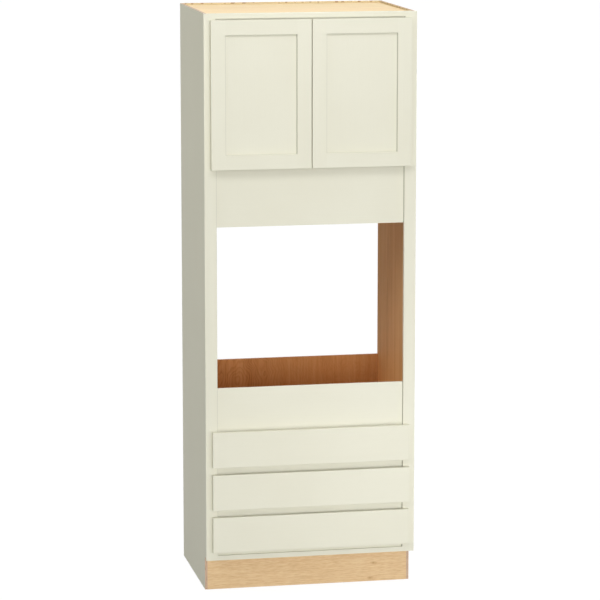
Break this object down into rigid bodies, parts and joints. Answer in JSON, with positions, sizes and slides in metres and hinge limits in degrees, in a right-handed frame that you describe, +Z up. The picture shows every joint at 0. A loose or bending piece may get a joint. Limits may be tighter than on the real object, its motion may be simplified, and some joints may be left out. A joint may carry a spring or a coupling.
{
  "type": "tall oven housing unit",
  "caption": "Tall face-framed kitchen cabinet that houses a built-in oven, with hinged doors above the open oven bay and sliding drawers below it.",
  "frame": {"origin": "on the floor, under the middle of the whole unit, doors included", "axes": "+Z up, -Y to the front where the doors and drawers are, +X to the right as seen from the front"},
  "size_m": [0.8382, 0.6316, 2.286],
  "materials": {
    "cream_paint": "satin cream paint on hardwood and fibreboard",
    "painted_plywood": "plywood, cream paint outside and clear-finished maple veneer inside",
    "maple_veneer": "clear-finished maple veneer on plywood",
    "bare_timber": "planed softwood, unfinished",
    "drawer_maple": "solid maple, clear lacquer",
    "zinc_steel": "bright zinc plate",
    "nickel_steel": "nickel plate",
    "moulded_plastic": "small moulded plastic parts, black or clear"
  },
  "bodies": {
    "housing": {"adjustable_shelf": "maple_veneer", "bottom_panel": "maple_veneer", "bottom_rail": "cream_paint", "corner_braces": "bare_timber", "cupboard_floor": "maple_veneer", "drawer_runners": "zinc_steel", "hanging_rail": "bare_timber", "hinge_arms": "nickel_steel", "left_side_panel": "painted_plywood", "left_stile": "cream_paint", "lower_back_panel": "maple_veneer", "lower_divider_rail": "cream_paint", "lower_oven_rail": "cream_paint", "oven_platform": "maple_veneer", "platform_cleats": "bare_timber", "right_side_panel": "painted_plywood", "right_stile": "cream_paint", "runner_brackets": "zinc_steel", "shelf_pins": "nickel_steel", "toe_kick_board": "maple_veneer", "top_panel": "maple_veneer", "top_rail": "cream_paint", "upper_back_panel": "maple_veneer", "upper_divider_rail": "cream_paint", "upper_oven_rail": "cream_paint"},
    "left_door": {"left_door_hinge_stile": "cream_paint", "left_door_meeting_stile": "cream_paint", "left_door_top_rail": "cream_paint", "left_door_bottom_rail": "cream_paint", "left_door_panel": "cream_paint", "left_door_hinge_cups": "nickel_steel"},
    "right_door": {"right_door_hinge_stile": "cream_paint", "right_door_meeting_stile": "cream_paint", "right_door_top_rail": "cream_paint", "right_door_bottom_rail": "cream_paint", "right_door_panel": "cream_paint", "right_door_hinge_cups": "nickel_steel"},
    "lower_drawer": {"lower_drawer_front": "cream_paint", "lower_drawer_sides": "drawer_maple", "lower_drawer_box_front": "drawer_maple", "lower_drawer_box_back": "drawer_maple", "lower_drawer_bottom": "maple_veneer", "lower_drawer_inner_slides": "zinc_steel"},
    "middle_drawer": {"middle_drawer_front": "cream_paint", "middle_drawer_sides": "drawer_maple", "middle_drawer_box_front": "drawer_maple", "middle_drawer_box_back": "drawer_maple", "middle_drawer_bottom": "maple_veneer", "middle_drawer_inner_slides": "zinc_steel"},
    "upper_drawer": {"upper_drawer_front": "cream_paint", "upper_drawer_sides": "drawer_maple", "upper_drawer_box_front": "drawer_maple", "upper_drawer_box_back": "drawer_maple", "upper_drawer_bottom": "maple_veneer", "upper_drawer_inner_slides": "zinc_steel"},
    "lower_drawer_slide_middle": {"lower_drawer_middle_slides": "zinc_steel"},
    "middle_drawer_slide_middle": {"middle_drawer_middle_slides": "zinc_steel"},
    "upper_drawer_slide_middle": {"upper_drawer_middle_slides": "zinc_steel"}
  },
  "joints": [
    {"name": "left_door_hinge", "type": "hinge", "parent": "housing", "child": "left_door", "pos_m": [-0.3881, -0.3048, 1.9733], "axis": [0, 0, -1], "range_deg": [0, 100]},
    {"name": "right_door_hinge", "type": "hinge", "parent": "housing", "child": "right_door", "pos_m": [0.3881, -0.3048, 1.9733], "axis": [0, 0, 1], "range_deg": [0, 100]},
    {"name": "lower_drawer_slide", "type": "slide", "parent": "housing", "child": "lower_drawer", "axis": [0, -1, 0], "range_m": [0, 0.53]},
    {"name": "lower_drawer_middle_slide", "type": "slide", "parent": "housing", "child": "lower_drawer_slide_middle", "axis": [0, -1, 0], "range_m": [0, 0.265]},
    {"name": "middle_drawer_slide", "type": "slide", "parent": "housing", "child": "middle_drawer", "axis": [0, -1, 0], "range_m": [0, 0.53]},
    {"name": "middle_drawer_middle_slide", "type": "slide", "parent": "housing", "child": "middle_drawer_slide_middle", "axis": [0, -1, 0], "range_m": [0, 0.265]},
    {"name": "upper_drawer_slide", "type": "slide", "parent": "housing", "child": "upper_drawer", "axis": [0, -1, 0], "range_m": [0, 0.53]},
    {"name": "upper_drawer_middle_slide", "type": "slide", "parent": "housing", "child": "upper_drawer_slide_middle", "axis": [0, -1, 0], "range_m": [0, 0.265]}
  ],
  "couplings": [
    {"joint": "lower_drawer_middle_slide", "follows": "lower_drawer_slide", "ratio": 0.5},
    {"joint": "middle_drawer_middle_slide", "follows": "middle_drawer_slide", "ratio": 0.5},
    {"joint": "upper_drawer_middle_slide", "follows": "upper_drawer_slide", "ratio": 0.5}
  ]
}
